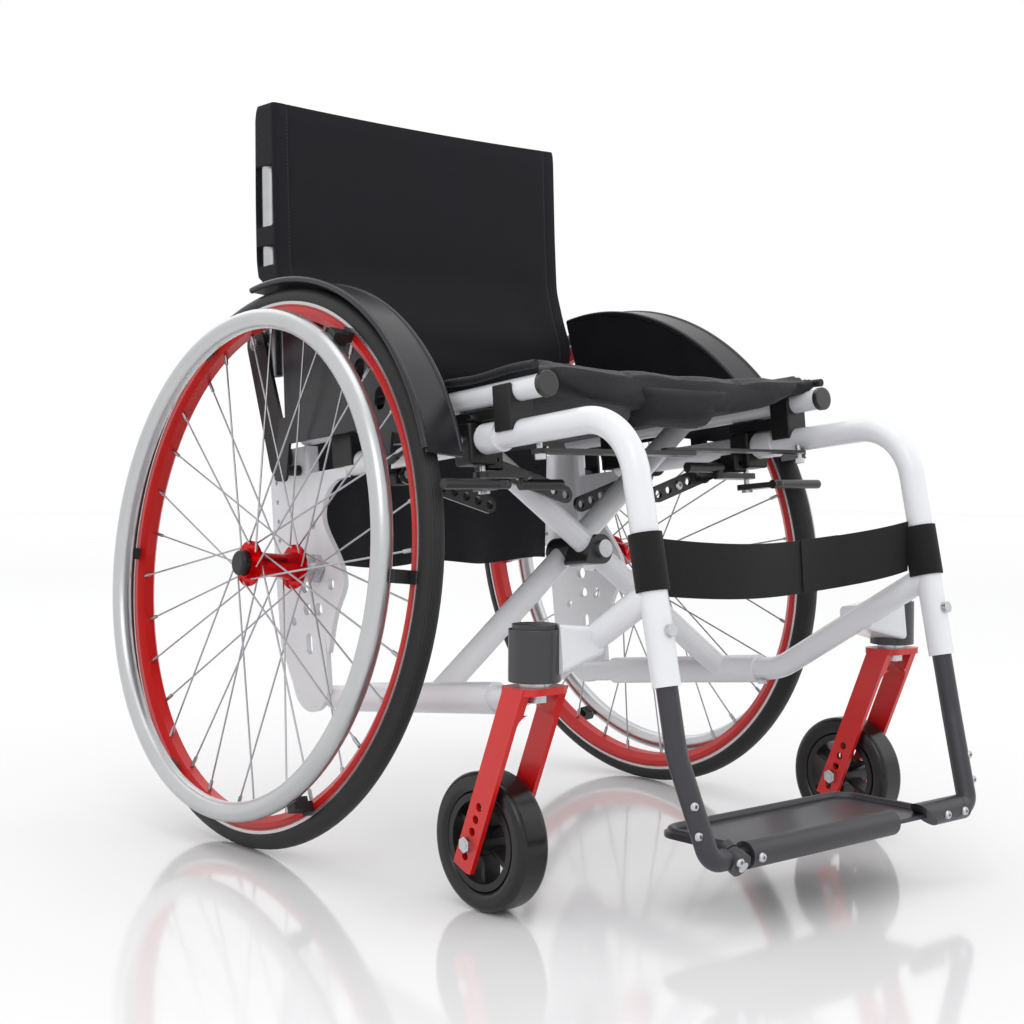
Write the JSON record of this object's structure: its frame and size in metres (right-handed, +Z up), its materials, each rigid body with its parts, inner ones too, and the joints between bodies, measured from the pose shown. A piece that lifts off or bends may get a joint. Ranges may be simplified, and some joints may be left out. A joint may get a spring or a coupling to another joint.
{
  "type": "manual wheelchair",
  "caption": "Folding active manual wheelchair with cambered spoked wheels, push rings, swivelling casters, cross brace, sling seat and fold-up footplate.",
  "frame": {"origin": "centre of the footprint's bounding box, on the floor", "axes": "+Z up, the chair faces -Y, +X is the occupant's left"},
  "size_m": [0.6846, 0.8658, 0.806],
  "materials": {
    "tyre": "matte black rubber",
    "red_paint": "satin deep red",
    "spoke_steel": "bright drawn wire",
    "push_ring": "satin polished",
    "black_plastic": "satin black",
    "guard_plastic": "glossy black",
    "bright_steel": "zinc plated",
    "white_paint": "gloss white powder coat",
    "graphite_metal": "satin graphite",
    "housing_metal": "satin dark grey",
    "black_metal": "satin black",
    "caster_tread": "smooth black",
    "seat_fabric": "black woven nylon",
    "back_mesh": "black spacer mesh",
    "webbing": "black woven webbing",
    "cane_metal": "bare silver"
  },
  "bodies": {
    "right_side": {"axle_right": "bright_steel", "caster_housing_right": "housing_metal", "upper_rail_right": "white_paint", "front_tube_right": "white_paint", "lower_tube_right": "white_paint", "axle_plate_right": "white_paint", "rail_fittings_right": "black_plastic", "back_cane_right": "cane_metal", "side_guard_right": "guard_plastic", "frame_screws_right": "bright_steel", "leg_extension_right": "graphite_metal", "foot_hinge_pin": "bright_steel", "backrest_cover": "back_mesh", "calf_strap": "webbing"},
    "left_side": {"axle_left": "bright_steel", "caster_housing_left": "housing_metal", "upper_rail_left": "white_paint", "front_tube_left": "white_paint", "lower_tube_left": "white_paint", "axle_plate_left": "white_paint", "rail_fittings_left": "black_plastic", "back_cane_left": "cane_metal", "side_guard_left": "guard_plastic", "frame_screws_left": "bright_steel", "leg_extension_left": "graphite_metal"},
    "brace_a": {"brace_a": "white_paint", "pivot_bolt": "bright_steel", "seat_rail_left": "white_paint"},
    "brace_b": {"brace_b": "white_paint", "seat_rail_right": "white_paint"},
    "seat": {"seat_sling": "seat_fabric"},
    "footplate": {"footplate": "graphite_metal"},
    "wheel_left": {"tyre_left": "tyre", "rim_left": "red_paint", "spokes_left": "spoke_steel", "hub_left": "red_paint", "handrim_left": "push_ring"},
    "release_button_left": {"release_button_left": "black_plastic"},
    "caster_fork_left": {"caster_fork_left": "red_paint", "caster_hardware_left": "bright_steel"},
    "caster_wheel_left": {"caster_tyre_left": "caster_tread", "caster_wheel_left": "black_plastic"},
    "brake_lever_left": {"brake_lever_left": "black_metal"},
    "brake_arm_left": {"brake_arm_left": "black_metal"},
    "link_left": {"link_left": "black_metal"},
    "cross_bar_left": {"cross_bar_left": "black_metal"},
    "wheel_right": {"tyre_right": "tyre", "rim_right": "red_paint", "spokes_right": "spoke_steel", "hub_right": "red_paint", "handrim_right": "push_ring"},
    "release_button_right": {"release_button_right": "black_plastic"},
    "caster_fork_right": {"caster_fork_right": "red_paint", "caster_hardware_right": "bright_steel"},
    "caster_wheel_right": {"caster_tyre_right": "caster_tread", "caster_wheel_right": "black_plastic"},
    "brake_lever_right": {"brake_lever_right": "black_metal"},
    "brake_arm_right": {"brake_arm_right": "black_metal"},
    "link_right": {"link_right": "black_metal"},
    "cross_bar_right": {"cross_bar_right": "black_metal"}
  },
  "joints": [
    {"name": "fold", "type": "hinge", "parent": "right_side", "child": "brace_a", "pos_m": [-0.19, -0.02585, 0.16401], "axis": [0, -0.9945, 0.1045], "range_deg": [0, 38], "deforming": ["seat_sling", "backrest_cover", "calf_strap"]},
    {"name": "cross_pivot", "type": "hinge", "parent": "brace_a", "child": "brace_b", "pos_m": [0, -0.02903, 0.30603], "axis": [0, -0.9945, 0.1045], "range_deg": [-76, 0]},
    {"name": "left_hinge", "type": "hinge", "parent": "brace_b", "child": "left_side", "pos_m": [0.19, -0.02585, 0.16401], "axis": [0, -0.9945, 0.1045], "range_deg": [0, 38]},
    {"name": "seat_level", "type": "hinge", "parent": "brace_b", "child": "seat", "pos_m": [-0.197, -0.01574, 0.45153], "axis": [0, -0.9945, 0.1045], "range_deg": [0, 38]},
    {"name": "link_left_swing", "type": "hinge", "parent": "left_side", "child": "link_left", "pos_m": [0.176, -0.02181, 0.39385], "axis": [0, 0.9945, -0.1045], "range_deg": [0, 99]},
    {"name": "cross_bar_left_swing", "type": "hinge", "parent": "left_side", "child": "cross_bar_left", "pos_m": [0.186, -0.20192, 0.41178], "axis": [0, 0.1045, 0.9945], "range_deg": [0, 71.64]},
    {"name": "link_right_swing", "type": "hinge", "parent": "right_side", "child": "link_right", "pos_m": [-0.176, -0.02181, 0.39385], "axis": [0, -0.9945, 0.1045], "range_deg": [0, 99]},
    {"name": "cross_bar_right_swing", "type": "hinge", "parent": "right_side", "child": "cross_bar_right", "pos_m": [-0.186, -0.20192, 0.41178], "axis": [0, -0.1045, -0.9945], "range_deg": [0, 71.64]},
    {"name": "footplate_flip", "type": "hinge", "parent": "right_side", "child": "footplate", "pos_m": [-0.158, -0.4181, 0.069], "axis": [0, -0.9063, -0.4226], "range_deg": [0, 90.1]},
    {"name": "wheel_left_spin", "type": "hinge", "parent": "left_side", "child": "wheel_left", "pos_m": [0.27, 0.1379, 0.29365], "axis": [0.9952, 0, 0.0976], "continuous": true},
    {"name": "release_left_push", "type": "slide", "parent": "left_side", "child": "release_button_left", "axis": [-0.9952, 0, -0.0976], "range_m": [0, 0.004], "stiffness_N_per_m": 500},
    {"name": "caster_left_swivel", "type": "hinge", "parent": "left_side", "child": "caster_fork_left", "pos_m": [0.255, -0.2751, 0.23], "axis": [0, 0, 1], "continuous": true},
    {"name": "caster_left_roll", "type": "hinge", "parent": "caster_fork_left", "child": "caster_wheel_left", "pos_m": [0.255, -0.2171, 0.0625], "axis": [1, 0, 0], "continuous": true},
    {"name": "brake_left_lever", "type": "hinge", "parent": "left_side", "child": "brake_lever_left", "pos_m": [0.19, -0.12382, 0.38949], "axis": [0, 0.1045, 0.9945], "range_deg": [0, 75]},
    {"name": "brake_left_pad", "type": "hinge", "parent": "left_side", "child": "brake_arm_left", "pos_m": [0.19, -0.12507, 0.37756], "axis": [0, 0.1045, 0.9945], "range_deg": [0, 9.58]},
    {"name": "wheel_right_spin", "type": "hinge", "parent": "right_side", "child": "wheel_right", "pos_m": [-0.27, 0.1379, 0.29365], "axis": [-0.9952, 0, 0.0976], "continuous": true},
    {"name": "release_right_push", "type": "slide", "parent": "right_side", "child": "release_button_right", "axis": [0.9952, 0, -0.0976], "range_m": [0, 0.004], "stiffness_N_per_m": 500},
    {"name": "caster_right_swivel", "type": "hinge", "parent": "right_side", "child": "caster_fork_right", "pos_m": [-0.255, -0.2751, 0.23], "axis": [0, 0, 1], "continuous": true},
    {"name": "caster_right_roll", "type": "hinge", "parent": "caster_fork_right", "child": "caster_wheel_right", "pos_m": [-0.255, -0.2171, 0.0625], "axis": [1, 0, 0], "continuous": true},
    {"name": "brake_right_lever", "type": "hinge", "parent": "right_side", "child": "brake_lever_right", "pos_m": [-0.19, -0.12382, 0.38949], "axis": [0, -0.1045, -0.9945], "range_deg": [0, 75]},
    {"name": "brake_right_pad", "type": "hinge", "parent": "right_side", "child": "brake_arm_right", "pos_m": [-0.19, -0.12507, 0.37756], "axis": [0, -0.1045, -0.9945], "range_deg": [0, 9.58]}
  ],
  "couplings": [
    {"joint": "cross_pivot", "follows": "fold", "ratio": -2},
    {"joint": "left_hinge", "follows": "fold", "ratio": 1},
    {"joint": "seat_level", "follows": "fold", "ratio": 1},
    {"joint": "link_left_swing", "follows": "fold", "ratio": 2.6},
    {"joint": "cross_bar_left_swing", "follows": "fold", "ratio": 1.88},
    {"joint": "link_right_swing", "follows": "fold", "ratio": 2.6},
    {"joint": "cross_bar_right_swing", "follows": "fold", "ratio": 1.88},
    {"joint": "footplate_flip", "follows": "fold", "ratio": 2.3684},
    {"joint": "brake_left_pad", "follows": "brake_left_lever", "ratio": 0.127},
    {"joint": "brake_right_pad", "follows": "brake_right_lever", "ratio": 0.127}
  ]
}
